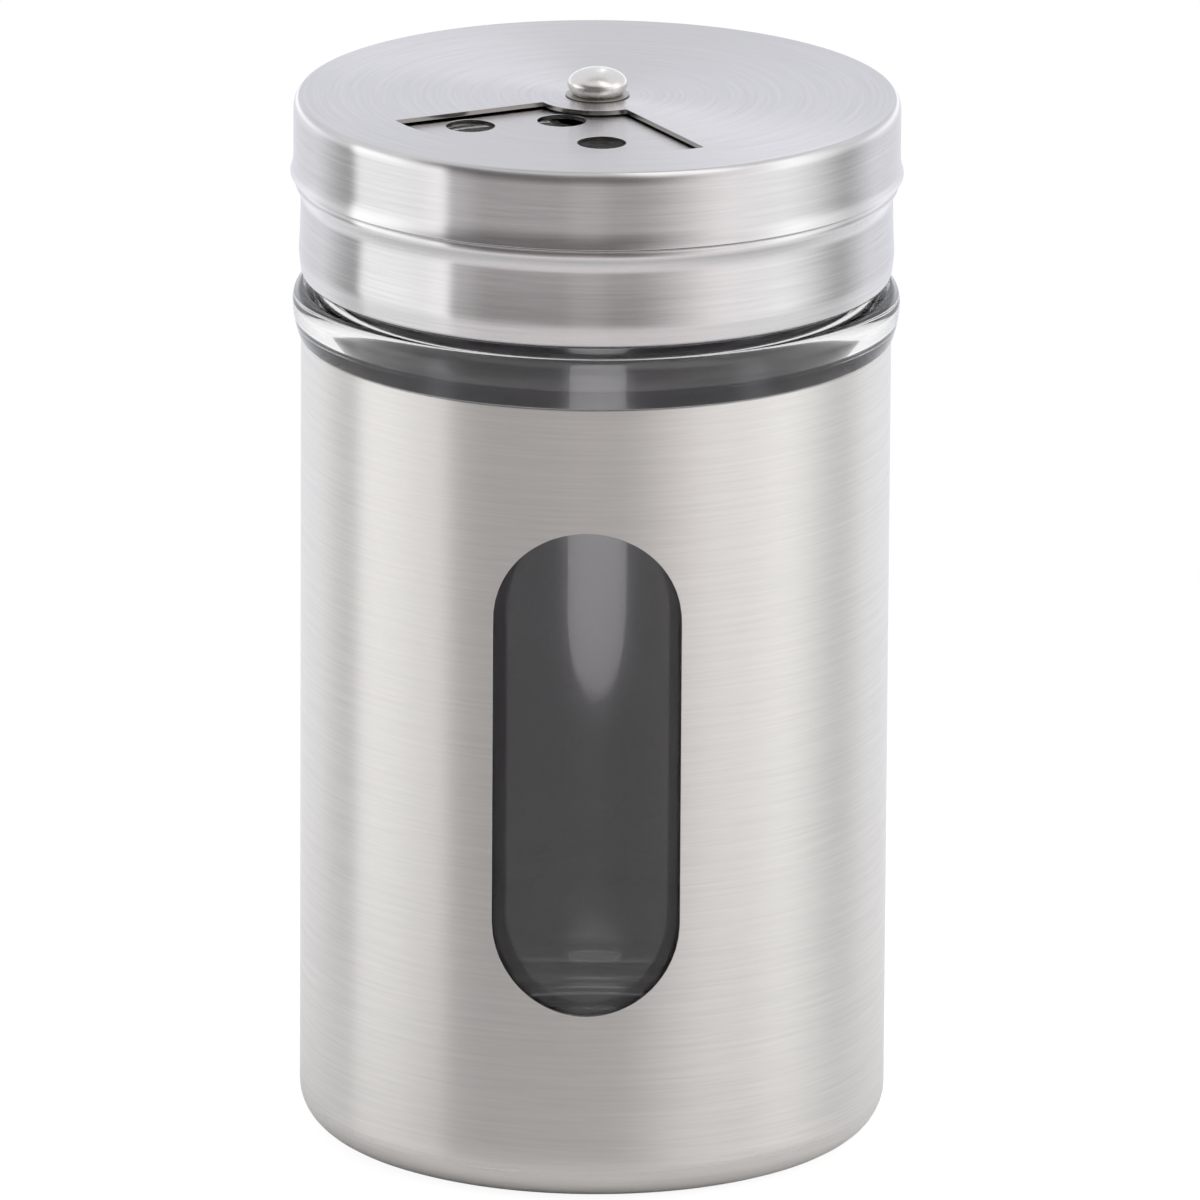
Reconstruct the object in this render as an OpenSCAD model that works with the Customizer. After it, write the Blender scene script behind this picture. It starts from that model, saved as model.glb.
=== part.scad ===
// Sift-and-pour spice shaker. A glass jar stands in a drawn steel sleeve with a sight window.
// Its screw-on lid is a steel collar with a perforated plate and a plastic thread insert,
// and a steel dial riveted through its middle turns over the plate to open or close it.
// Millimetres, +Z up, origin at the centre of the foot, sight window towards -Y.

/* [Sleeve] */
// Outer diameter of the steel sleeve
sleeve_d = 61; // [54:0.5:70]
// Height of the sleeve's cut top edge above the table
sleeve_h = 85; // [78:0.5:110]
// Thickness of the sleeve's sheet
sleeve_sheet = 0.5; // [0.3:0.05:0.8]
// Outer radius of the drawn corner round the foot
foot_r = 4.2; // [3:0.1:6]
// Width of the flat ring that the sleeve stands on
foot_ring_w = 2.8; // [1.5:0.1:5]
// Height of the panel pressed up inside the foot ring
foot_recess = 0.8; // [0.4:0.1:1.6]

/* [Sight window] */
// Width of the round-ended sight window
window_w = 19.3; // [12:0.1:26]
// Height of the sight window
window_h = 51.6; // [30:0.2:58]
// Height of the window's middle above the table
window_z = 46.1; // [40:0.1:47]

/* [Glass jar] */
// Play between the glass and the sleeve, on the radius
jar_play = 0.15; // [0.05:0.05:0.4]
// Thickness of the jar's side wall
glass_wall = 2.65; // [1.8:0.05:3.4]
// Thickness of the jar's floor
glass_floor = 5; // [3:0.1:9]
// Outer radius of the jar's bottom corner
jar_corner_r = 5; // [3.5:0.1:7]
// Inner radius of the jar's bottom corner
jar_inner_corner_r = 4; // [2:0.1:7]
// Radius of the hollow pushed up under the jar
push_up_r = 16; // [8:0.5:18]
// Height of that hollow
push_up_h = 0.8; // [0.3:0.1:1.5]
// Thickness of the glue between the jar and the sleeve's floor
glue_t = 0.5; // [0.2:0.1:1.2]
// Diameter of the glue pad
glue_d = 42; // [38:0.5:44]

/* [Jar bead and neck] */
// How far the glass bead stands out past the sleeve
bead_out = 0.85; // [0.5:0.05:1.6]
// Height of the glass bead above the sleeve's edge
bead_h = 5.2; // [4.9:0.1:5.6]
// Gap between the bead and the sleeve's edge
bead_gap = 0.05; // [0.02:0.01:0.2]
// How much smaller the neck is than the jar, on the radius
neck_step = 2.25; // [1.6:0.05:3.2]
// Height from the bead's seat to the rim
neck_h = 21.35; // [19:0.05:30]
// Thickness of the neck's wall
neck_wall = 2.7; // [1.8:0.05:3.2]
// Radius of the rim's two edges
rim_round = 1; // [0.4:0.1:1.2]

/* [Seal and thread insert] */
// Thickness of the seal ring
seal_t = 1.5; // [0.8:0.1:2.5]
// How far the seal ring stays in from the insert's bore
seal_play = 0.3; // [0.1:0.05:0.5]
// Gap at each face of the seal ring
seal_gap = 0.05; // [0.02:0.01:0.1]
// Room for the threads between the neck and the insert, on the radius
thread_room = 1.3; // [1:0.05:1.8]
// Thickness of the insert's wall
insert_wall = 1; // [0.9:0.05:2]
// Thickness of the insert's top flange
flange_t = 1; // [0.8:0.1:2]
// How far that flange reaches in past the bore
flange_w = 4.1; // [2:0.1:5]
// Chamfer on the insert's outer edges
insert_chamfer = 0.4; // [0.35:0.05:0.8]
// Gap between the insert and the collar, on the radius
insert_gap = 0.05; // [0.02:0.01:0.15]

/* [Lid collar] */
// Thickness of the collar's sheet
collar_sheet = 0.5; // [0.3:0.05:0.7]
// Height of the collar from its hem to the top of its plate
collar_h = 18.15; // [14:0.05:18.2]
// Outer radius of the plate's edge
collar_round = 0.8; // [0.75:0.05:1.3]
// How far the collar's waist stands out past its plate, on the radius
waist_out = 0.1; // [0:0.05:0.4]
// How far the collar swells out below the waist
hem_out = 0.16; // [0.04:0.02:0.5]
// Height of the widest part of that swelling above the hem
hem_h = 2.65; // [2:0.05:4]
// Angle at which the collar leans in below it
hem_lean = 7; // [0:0.5:10]
// Outer radius of the hem's edge
hem_round = 0.75; // [0.75:0.05:1.2]
// How far the hem turns in under the insert
hem_w = 1.6; // [1.5:0.05:1.8]
// How far the ridge under the dial stands out past the waist
ridge_out = 0.6; // [0.2:0.05:0.8]
// How far the ridge's crest lies below the dial's foot
ridge_drop = 0.8; // [0.75:0.05:1.6]

/* [Holes in the plate] */
// Heading of the large holes, turned from +X
plate_heading = 246; // [0:1:359]
// Diameter of the three large holes
large_hole_d = 5; // [3:0.1:5.6]
// Radius on which the outer two large holes lie
large_hole_r = 16.4; // [14:0.1:18]
// Angle of those two to each side of their heading
large_hole_spread = 27; // [18:1:32]
// Radius on which the third large hole lies
inner_hole_r = 8.5; // [8:0.1:10]
// Diameter of the fine holes
fine_hole_d = 2.2; // [1:0.1:3]
// Distance between neighbouring fine holes
fine_hole_pitch = 4.6; // [3.6:0.1:5]
// Radius on which the middle of the fine holes lies
fine_hole_r = 14.5; // [13:0.1:15.5]
// Inner radius of the pour opening
pour_r_in = 8; // [7:0.1:12]
// Outer radius of the pour opening
pour_r_out = 21.5; // [16:0.1:22]
// Angle that the pour opening spans
pour_angle = 60; // [30:1:76]

/* [Dial] */
// Thickness of the dial's sheet
dial_sheet = 0.5; // [0.3:0.05:0.7]
// Gap between the plate and the dial
dial_gap = 0.2; // [0.05:0.01:0.3]
// Play between the dial's skirt and the collar, on the radius
dial_play = 0.35; // [0.2:0.05:0.6]
// Height of the dial
dial_h = 8.05; // [5:0.05:9]
// Width of the curve round the dial's top edge
dial_curve_w = 0.65; // [0.55:0.05:1.4]
// Height of that curve
dial_curve_h = 1.4; // [0.75:0.05:2]
// How far the skirt flares out at its foot
flare_out = 0.34; // [0.1:0.02:0.6]
// Angle of the flare's straight part from upright
flare_lean = 12.5; // [10:0.5:25]
// Angle of the dial's window
dial_angle = 91; // [60:1:96]
// Inner radius of the dial's window
dial_r_in = 6.3; // [5.5:0.1:8]
// Outer radius of the dial's window
dial_r_out = 23.3; // [20:0.1:24]
// How far the dial is turned past the large holes
dial_rest = 7.8; // [0:0.1:359]

/* [Rivet and washers] */
// Diameter of the rivet's domed head
head_d = 7; // [5.4:0.1:8.4]
// Height of the rivet's head
head_h = 2.9; // [1.8:0.1:4]
// Diameter of the rivet's shank
shank_d = 4; // [3:0.1:4.4]
// Running clearance of the shank in the plate, on the radius
shank_play = 0.06; // [0.02:0.01:0.1]
// Clearance of the shank in the dial and the washers, on the radius
shank_fit = 0.03; // [0.01:0.01:0.05]
// Diameter of the rivet's spread tail
tail_d = 6; // [5.2:0.1:7]
// Thickness of the spread tail
tail_t = 0.8; // [0.5:0.1:1.2]
// Diameter of the hollow up the tail
hollow_d = 2; // [1:0.1:2.2]
// Depth of that hollow
hollow_h = 2; // [0.5:0.1:3]
// Diameter of the flat washer
washer_d = 10; // [8:0.1:10.6]
// Thickness of the flat washer
washer_t = 0.5; // [0.3:0.05:0.8]
// Diameter of the wave washer
wave_d = 9.4; // [7.6:0.1:10]
// Thickness of the wave washer
wave_t = 0.3; // [0.2:0.05:0.4]
// Height of the wave washer over its waves
wave_h = 0.9; // [0.7:0.05:1.2]
// Number of waves round the washer
wave_count = 3; // [2:1:4]
// Gap between the wave washer's crests and the plate
wave_gap = 0.05; // [0.02:0.01:0.1]

/* [Hidden] */
$fn = 96;

// Radii, from the sleeve in to the neck and out again to the dial
sleeve_r = sleeve_d / 2;
jar_r = sleeve_r - sleeve_sheet - jar_play;
bead_r = sleeve_r + bead_out;
neck_r = jar_r - neck_step;
bore_r = neck_r + thread_room;
insert_r = bore_r + insert_wall;
plate_r = insert_r + insert_gap + collar_sheet;
waist_r = plate_r + waist_out;
hem_r = waist_r + hem_out;
ridge_r = waist_r + ridge_out;
dial_r = plate_r + dial_play + dial_sheet;
foot_ring_r = sleeve_r - foot_r - foot_ring_w;
shank_r = shank_d / 2;

// Heights, from the sleeve's floor up to the dial, and down again under the plate
sleeve_floor_z = foot_recess + sleeve_sheet;
jar_z = sleeve_floor_z + glue_t;
bead_z = sleeve_h + bead_gap;
rim_z = bead_z + neck_h;
seal_z = rim_z + seal_gap;
flange_z = seal_z + seal_t + seal_gap;
plate_low_z = flange_z + flange_t;
plate_z = plate_low_z + collar_sheet;
collar_z = plate_z - collar_h;
dial_low_z = plate_z + dial_gap;
dial_z = dial_low_z + dial_sheet;
skirt_z = dial_z - dial_h;
ridge_z = skirt_z - ridge_drop;
wave_z = plate_low_z - wave_gap - wave_h;
washer_z = wave_z - washer_t;

// The plate has a set of openings in each quarter, and one quarter is left blank
fine_heading = plate_heading + 90;
pour_heading = plate_heading + 180;
dial_heading = plate_heading + dial_rest;

cut = 1;                    // how far a cutter runs past what it cuts
mitre = tan(45 / 2);        // sideways shift per unit of offset at the panel's 45 degree step
wave_steps = 60;            // points round the wave washer

// Points of an arc of radii rx and ry about (x, y), from angle a to angle b
function bow(x, y, rx, ry, a, b, steps = 8) =
    [for (i = [0:steps]) let (t = a + (b - a) * i / steps) [x + rx * cos(t), y + ry * sin(t)]];

// Points that ease from (x1, y1) to (x2, y2), upright at both ends
function eased(x1, y1, x2, y2, steps = 8) =
    [for (i = [0:steps]) [x1 + (x2 - x1) * (1 - cos(180 * i / steps)) / 2, y1 + (y2 - y1) * i / steps]];

function backwards(points) = [for (i = [len(points) - 1:-1:0]) points[i]];

module turned(outline) rotate_extrude() polygon(outline);

// A sheet turned round the axis, between two offset faces
module drawn(outside, inside) turned(concat(outside, backwards(inside)));

module at_heading(heading, radius) rotate(heading) translate([radius, 0, 0]) children();

// A ring sector about +X, through the height from low to high
module sector(r_in, r_out, angle, low, high) {
    reach = r_out / cos(angle / 2) + cut;
    translate([0, 0, low]) intersection() {
        difference() {
            cylinder(h = high - low, r = r_out);
            translate([0, 0, -cut]) cylinder(h = high - low + 2 * cut, r = r_in);
        }
        linear_extrude(high - low) polygon([
            [0, 0],
            [reach * cos(angle / 2), -reach * sin(angle / 2)],
            [reach * cos(angle / 2), reach * sin(angle / 2)]]);
    }
}

// Outline of the sight window, flat on the table's plane
module round_ended(w, h) {
    square([w, h - w], center = true);
    for (end = [-1, 1]) translate([0, end * (h - w) / 2]) circle(d = w);
}

// A face of the drawn cup, inset from its outside: floor panel, foot ring, corner and wall
function sleeve_face(inset) = concat(
    [[0, foot_recess + inset],
     [foot_ring_r - foot_recess + inset * mitre, foot_recess + inset],
     [foot_ring_r + inset * mitre, inset]],
    bow(sleeve_r - foot_r, foot_r, foot_r - inset, foot_r - inset, -90, 0),
    [[sleeve_r - inset, sleeve_h]]);

module steel_sleeve() {
    color("silver") difference() {
        drawn(sleeve_face(0), sleeve_face(sleeve_sheet));
        translate([0, 0, window_z]) rotate([90, 0, 0])
            linear_extrude(sleeve_r + cut) round_ended(window_w, window_h);
    }
}

module glue_pad() {
    color("ivory") translate([0, 0, sleeve_floor_z]) cylinder(h = glue_t, d = glue_d);
}

// Outside of the jar: pushed-up bottom, corner, wall, bead over the sleeve, neck and rim
push_up_sphere_r = (push_up_r ^ 2 + push_up_h ^ 2) / (2 * push_up_h);
bead_bend = 9.5;            // radius of the bead's flank, up to its widest
bead_edge = 0.3;            // radius of its lower edge
bead_brow_w = 1.2;          // how far its brow rounds in
bead_brow_h = 1.7;
bead_widest_h = bead_h - bead_brow_h;
bead_turn = asin((bead_widest_h - bead_edge) / (bead_bend - bead_edge));
bead_edge_r = bead_r - bead_bend + (bead_bend - bead_edge) * cos(bead_turn);
shoulder_h = 2.3;           // height of the hollow curve from the bead to the neck
jar_outside = concat(
    bow(0, jar_z + push_up_h - push_up_sphere_r, push_up_sphere_r, push_up_sphere_r,
        90, 90 - asin(push_up_r / push_up_sphere_r)),
    bow(jar_r - jar_corner_r, jar_z + jar_corner_r, jar_corner_r, jar_corner_r, -90, 0),
    [[jar_r, bead_z]],
    bow(bead_edge_r, bead_z + bead_edge, bead_edge, bead_edge, -90, -bead_turn, 4),
    bow(bead_r - bead_bend, bead_z + bead_widest_h, bead_bend, bead_bend, -bead_turn, 0),
    bow(bead_r - bead_brow_w, bead_z + bead_widest_h, bead_brow_w, bead_brow_h, 0, 90),
    bow(bead_r - bead_brow_w, bead_z + bead_h + shoulder_h,
        bead_r - bead_brow_w - neck_r, shoulder_h, 270, 180),
    bow(neck_r - rim_round, rim_z - rim_round, rim_round, rim_round, 0, 90));

// Inside of the jar: floor, corner, wall, hollow behind the bead, shoulder, bore and rim
bead_hollow_w = 1.1;        // how far the wall's inside swells out behind the bead
bead_hollow_low_z = bead_z - 2;
bead_hollow_z = bead_z + 3.2;
shoulder_top_z = bead_z + 7.95;
inner_r = jar_r - glass_wall;
mouth_r = neck_r - neck_wall;
inner_floor_z = jar_z + glass_floor;
jar_inside = concat(
    [[0, inner_floor_z]],
    bow(inner_r - jar_inner_corner_r, inner_floor_z + jar_inner_corner_r,
        jar_inner_corner_r, jar_inner_corner_r, -90, 0),
    eased(inner_r, bead_hollow_low_z, inner_r + bead_hollow_w, bead_hollow_z),
    eased(inner_r + bead_hollow_w, bead_hollow_z, mouth_r, shoulder_top_z),
    bow(mouth_r + rim_round, rim_z - rim_round, rim_round, rim_round, 180, 90));

module glass_jar() {
    color("lightblue", 0.4) drawn(jar_outside, jar_inside);
}

module seal_ring() {
    edge = seal_t / 4;
    outer = bore_r - seal_play;
    inner = mouth_r + seal_play;
    color("whitesmoke") turned(concat(
        bow(inner + edge, seal_z + edge, edge, edge, 180, 270, 3),
        bow(outer - edge, seal_z + edge, edge, edge, -90, 0, 3),
        bow(outer - edge, seal_z + seal_t - edge, edge, edge, 0, 90, 3),
        bow(inner + edge, seal_z + seal_t - edge, edge, edge, 90, 180, 3)));
}

// The insert fills the collar from the hem to the plate, and its flange presses on the seal
module thread_insert() {
    low = collar_z + collar_sheet;
    color("white") turned([
        [bore_r, low + insert_chamfer],
        [bore_r + insert_chamfer, low],
        [insert_r - insert_chamfer, low],
        [insert_r, low + insert_chamfer],
        [insert_r, plate_low_z - insert_chamfer],
        [insert_r - insert_chamfer, plate_low_z],
        [bore_r - flange_w, plate_low_z],
        [bore_r - flange_w, flange_z],
        [bore_r, flange_z]]);
}

// The collar's ridge: a crest of radius ridge_bend between two hollow curves. Two arcs that meet
// have their centres the sum of their radii apart, so a turn's cosine is 1 - rise / sum.
ridge_bend = 1;
ridge_foot_bend = 2.6;
ridge_top_bend = 0.6;
foot_reach = ridge_foot_bend + ridge_bend;
top_reach = ridge_top_bend + ridge_bend;
foot_turn = acos(1 - (ridge_r - waist_r) / foot_reach);
top_turn = acos(1 - (ridge_r - plate_r) / top_reach);

// The swelling below the waist: a long hollow curve into one of radius swell_bend
swell_bend = 6;
waist_z = ridge_z - foot_reach * sin(foot_turn);
swell_z = collar_z + hem_h;
swell_turn = 2 * atan(hem_out / (waist_z - swell_z));
wall_bend = (waist_z - swell_z) / sin(swell_turn) - swell_bend;
hem_in = (swell_bend - hem_round + (hem_round - hem_h) * sin(hem_lean)) / cos(hem_lean);

// A face of the collar, inset from its outside: hem, swelling, waist, ridge under the dial, plate
function collar_face(inset) =
    let (edge = hem_round - inset, swell = swell_bend - inset, wall = wall_bend + inset,
         foot = ridge_foot_bend + inset, crest = ridge_bend - inset, top = ridge_top_bend + inset,
         bend = collar_round - inset)
    concat(
        [[hem_r - hem_w, collar_z + inset]],
        bow(hem_r - swell_bend + hem_in, collar_z + hem_round, edge, edge, -90, -hem_lean),
        bow(hem_r - swell_bend, swell_z, swell, swell, -hem_lean, swell_turn, 4),
        bow(waist_r + wall_bend, waist_z, wall, wall, 180 + swell_turn, 180, 4),
        bow(waist_r + ridge_foot_bend, waist_z, foot, foot, 180, 180 - foot_turn, 4),
        bow(ridge_r - ridge_bend, ridge_z, crest, crest, -foot_turn, top_turn),
        bow(plate_r + ridge_top_bend, ridge_z + top_reach * sin(top_turn), top, top, 180 + top_turn, 180, 4),
        bow(plate_r - collar_round, plate_z - collar_round, bend, bend, 0, 90),
        [[0, plate_z - inset]]);

module plate_hole(diameter) {
    translate([0, 0, plate_low_z - cut]) cylinder(h = collar_sheet + 2 * cut, d = diameter);
}

module lid_collar() {
    color("silver") difference() {
        drawn(collar_face(0), collar_face(collar_sheet));
        plate_hole(shank_d + 2 * shank_play);
        rotate(plate_heading) {
            at_heading(0, inner_hole_r) plate_hole(large_hole_d);
            for (side = [-1, 1])
                at_heading(side * large_hole_spread, large_hole_r) plate_hole(large_hole_d);
        }
        at_heading(fine_heading, fine_hole_r) {
            plate_hole(fine_hole_d);
            for (turn = [0:60:300]) at_heading(turn, fine_hole_pitch) plate_hole(fine_hole_d);
        }
        rotate(pour_heading)
            sector(pour_r_in, pour_r_out, pour_angle, plate_low_z - cut, plate_z + cut);
    }
}

// The skirt's flare: a hollow curve makes the first fifth of it and a straight part the rest
flare_bend = flare_out / 5 / (1 - cos(flare_lean));
flare_z = skirt_z + flare_out * 4 / 5 / tan(flare_lean) + flare_bend * sin(flare_lean);

// A face of the dial, inset from its outside: flared skirt, round edge and flat top
function dial_face(inset) =
    let (w = max(dial_curve_w - inset, 0.05), h = max(dial_curve_h - inset, 0.05),
         bend = flare_bend + inset)
    concat(
        [[dial_r + flare_out - inset / cos(flare_lean), skirt_z]],
        bow(dial_r + flare_bend, flare_z, bend, bend, 180 + flare_lean, 180, 4),
        bow(dial_r - inset - w, dial_z - inset - h, w, h, 0, 90),
        [[0, dial_z - inset]]);

module dial_cap() {
    color("silver") difference() {
        drawn(dial_face(0), dial_face(dial_sheet));
        translate([0, 0, dial_low_z - cut])
            cylinder(h = dial_sheet + 2 * cut, r = shank_r + shank_fit);
        rotate(dial_heading)
            sector(dial_r_in, dial_r_out, dial_angle, dial_low_z - cut, dial_z + cut);
    }
}

// A spring ring whose middle rises and falls wave_count times round
module wave_washer() {
    lift = (wave_h - wave_t) / 2;
    corners = [for (i = [0:wave_steps - 1])
        let (t = 360 * i / wave_steps, z = wave_z + lift * (1 + cos(wave_count * t)))
        for (c = [[shank_r + shank_fit, 0], [wave_d / 2, 0],
                  [wave_d / 2, wave_t], [shank_r + shank_fit, wave_t]])
            [c[0] * cos(t), c[0] * sin(t), z + c[1]]];
    sides = [for (i = [0:wave_steps - 1])
        let (here = 4 * i, next = 4 * ((i + 1) % wave_steps))
        for (k = [0:3]) let (m = (k + 1) % 4)
            [here + k, here + m, next + m, next + k]];
    color("lightgray") polyhedron(corners, sides);
}

module flat_washer() {
    color("lightgray") translate([0, 0, washer_z]) difference() {
        cylinder(h = washer_t, d = washer_d);
        translate([0, 0, -cut]) cylinder(h = washer_t + 2 * cut, r = shank_r + shank_fit);
    }
}

// A semi-tubular rivet: spread tail under the washers, shank, and a dome over the dial
module rivet() {
    head_r = head_d / 2;
    tail_r = tail_d / 2;
    rim_h = head_h / 5;
    edge = tail_t / 2;
    color("gainsboro") turned(concat(
        [[0, washer_z - tail_t + hollow_h],
         [hollow_d / 2, washer_z - tail_t + hollow_h],
         [hollow_d / 2, washer_z - tail_t]],
        bow(tail_r - edge, washer_z - edge, edge, edge, -90, 90),
        [[shank_r, washer_z],
         [shank_r, dial_z],
         [head_r, dial_z]],
        bow(0, dial_z + rim_h, head_r, head_h - rim_h, 0, 90, 12)));
}

steel_sleeve();
glue_pad();
glass_jar();
seal_ring();
thread_insert();
lid_collar();
wave_washer();
flat_washer();
dial_cap();
rivet();
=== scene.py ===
import math

import bpy
import numpy as np
from mathutils import Matrix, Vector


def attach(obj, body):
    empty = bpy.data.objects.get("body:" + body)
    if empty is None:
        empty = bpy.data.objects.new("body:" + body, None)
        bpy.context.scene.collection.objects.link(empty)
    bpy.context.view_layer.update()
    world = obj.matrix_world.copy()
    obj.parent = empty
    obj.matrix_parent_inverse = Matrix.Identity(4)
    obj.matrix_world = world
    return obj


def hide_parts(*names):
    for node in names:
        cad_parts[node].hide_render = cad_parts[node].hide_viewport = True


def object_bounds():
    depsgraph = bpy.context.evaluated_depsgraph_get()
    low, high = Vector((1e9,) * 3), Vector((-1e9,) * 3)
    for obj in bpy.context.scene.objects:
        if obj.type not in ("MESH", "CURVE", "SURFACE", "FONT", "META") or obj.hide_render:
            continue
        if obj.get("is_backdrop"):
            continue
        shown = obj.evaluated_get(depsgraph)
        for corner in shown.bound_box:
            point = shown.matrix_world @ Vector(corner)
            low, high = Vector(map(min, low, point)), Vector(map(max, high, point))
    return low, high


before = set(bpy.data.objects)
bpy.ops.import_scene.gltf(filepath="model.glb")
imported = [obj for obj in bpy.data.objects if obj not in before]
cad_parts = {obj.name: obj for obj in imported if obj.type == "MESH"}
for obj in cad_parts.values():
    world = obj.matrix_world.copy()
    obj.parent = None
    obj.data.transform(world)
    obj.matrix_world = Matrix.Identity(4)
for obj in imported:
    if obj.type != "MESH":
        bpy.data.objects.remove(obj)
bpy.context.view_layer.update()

scene = bpy.context.scene
mm = 0.001      # sizes below are in mm, and turn to metres where they go into Blender


# An sRGB hex colour in linear light: shares up to 0.04045 over 12.92, the rest on a curve of power 2.4.
def linear(hexColour):
    share = np.array([int(hexColour[i:i + 2], 16) for i in (1, 3, 5)]) / 255
    share = np.where(share <= 0.04045, share / 12.92, ((share + 0.055) / 1.055) ** 2.4)
    return (*[float(c) for c in share], 1.0)


# Adds a shader node and sets its properties. The other keys are its inputs, by number (i0, i1) or by label
# with _ for a space. A node is linked by its first output, a socket as it is, and any other value is set.
def addNode(tree, kind, settings=None, **links):
    node = tree.nodes.new("ShaderNode" + kind)
    for key, value in (settings or {}).items():
        setattr(node, key, value)
    for key, value in links.items():
        numbered = key[0] == "i" and key[1:].isdigit()
        socket = node.inputs[int(key[1:]) if numbered else key.replace("_", " ")]
        if isinstance(value, bpy.types.Node):
            value = value.outputs[0]
        if isinstance(value, bpy.types.NodeSocket):
            tree.links.new(value, socket)
        else:
            socket.default_value = value
    return node


# A new material, its node tree, and the place on the piece in metres, which is the tree's first node.
def startMaterial(name):
    material = bpy.data.materials.new(name)
    material.use_nodes = True
    tree = material.node_tree
    tree.nodes.clear()
    return material, tree, addNode(tree, "TexCoord").outputs["Object"]


# A turned outline from (r, z, radius) corners: straight runs cut up at the step, and each corner rounded by
# an arc that starts radius * tan(turn / 2) before it.
def filleted(corners, step=1.5, turnStep=9.0, closed=True):
    at = np.array([c[:2] for c in corners], float)
    radius = np.array([c[2] if len(c) > 2 else 0.0 for c in corners], float)
    count = len(at)
    runs = []
    for k in range(count):
        before, after = at[k] - at[k - 1], at[(k + 1) % count] - at[k]
        if radius[k] == 0 or (not closed and k in (0, count - 1)):
            runs.append(at[k:k + 1])
            continue
        before, after = before / np.linalg.norm(before), after / np.linalg.norm(after)
        bend = math.atan2(before[0] * after[1] - before[1] * after[0], before @ after)
        reach = radius[k] * math.tan(abs(bend) / 2)
        side = np.array([-before[1], before[0]]) * math.copysign(1, bend)
        middle = at[k] - before * reach + side * radius[k]
        points = max(3, math.ceil(math.degrees(abs(bend)) / turnStep) + 1)
        sweep = np.linspace(0, abs(bend), points)[:, None]
        runs.append(middle - side * radius[k] * np.cos(sweep) + before * radius[k] * np.sin(sweep))
    out = []
    for k, run in enumerate(runs):
        out.append(run)
        if closed or k < count - 1:
            gap = runs[(k + 1) % count][0] - run[-1]
            cuts = max(1, math.ceil(np.linalg.norm(gap) / step))
            out.append(run[-1] + gap * np.linspace(0, 1, cuts + 1)[1:-1, None])
    return np.concatenate(out)


# Points of an ellipse: (r + radiusR cos t, z + radiusZ sin t), for t from start to end in degrees.
def arc(r, z, radiusR, radiusZ, start, end, count):
    t = np.radians(np.linspace(start, end, count))
    return np.stack([r + radiusR * np.cos(t), z + radiusZ * np.sin(t)], 1)


# The same with one radius.
def bow(r, z, radius, start, end, count):
    return arc(r, z, radius, radius, start, end, count)


# An outline with its long runs cut up at the step: each run is divided evenly.
def spaced(points, step, closed=True):
    out = []
    for here, after in zip(points, np.roll(points, -1, 0)):
        cuts = max(1, math.ceil(np.linalg.norm(after - here) / step))
        out.append(here + (after - here) * np.linspace(0, 1, cuts + 1)[:-1, None])
    if not closed:
        out[-1] = points[-1:]
    return np.concatenate(out)


# The heading of each column of a turned grid: 2 pi k / columns.
def rounds(columns):
    return (2 * math.pi * np.arange(columns) / columns)[:, None]


# A turned grid: (radius cos t, radius sin t, z), for radius and z by column and row.
def turned(t, radius, z):
    return np.stack(np.broadcast_arrays(radius * np.cos(t), radius * np.sin(t), z + 0 * t), 2)


# The outline turned round the axis. Its normal is its own direction turned a quarter to the right.
def lathe(outline, columns, closed=True, keep=None):
    t = rounds(columns)
    points = turned(t, outline[None, :, 0], outline[None, :, 1])
    slope = np.roll(outline, -1, 0) - np.roll(outline, 1, 0) if closed else np.gradient(outline, axis=0)
    normal = np.stack([slope[:, 1], -slope[:, 0]], 1)
    normal[outline[:, 0] == 0, 0] = 0
    normal /= np.maximum(np.linalg.norm(normal, axis=1, keepdims=True), 1e-15)
    return grid(points, True, closed, keep, turned(t, normal[None, :, 0], normal[None, :, 1]))


# Normals of a grid: the cross product of its central differences along both parameters.
def gridNormals(points, wrapU, wrapV):
    def slope(axis, wrap):
        if wrap:
            return np.roll(points, -1, axis) - np.roll(points, 1, axis)
        return np.gradient(points, axis=axis)
    normal = np.cross(slope(0, wrapU), slope(1, wrapV))
    return normal / np.maximum(np.linalg.norm(normal, axis=2, keepdims=True), 1e-15)


# A surface as points, normals and quads: cell (a, b) joins its point to the next along u and along v.
def grid(points, wrapU, wrapV, keep=None, normals=None):
    if normals is None:
        normals = gridNormals(points, wrapU, wrapV)
    rows, cols = points.shape[:2]
    if keep is None:
        keep = np.ones((rows if wrapU else rows - 1, cols if wrapV else cols - 1), bool)
    a, b = np.nonzero(keep)
    nextA, nextB = (a + 1) % rows, (b + 1) % cols
    quads = np.stack([a * cols + b, nextA * cols + b, nextA * cols + nextB, a * cols + nextB], 1)
    return points.reshape(-1, 3), normals.reshape(-1, 3), quads


# An opening's core is a point, a line or a sector, and its outline is the core grown by a radius. Each of the
# three gives the function that finds the core's nearest points: here the point itself.
def pointShape(x, y):
    return lambda p: np.broadcast_to([x, y], p.shape)


# Nearest points of the upright line from (0, low) to (0, high): the height clamped between them.
def lineShape(low, high):
    return lambda p: np.stack([0 * p[:, 0], np.clip(p[:, 1], low, high)], 1)


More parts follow.
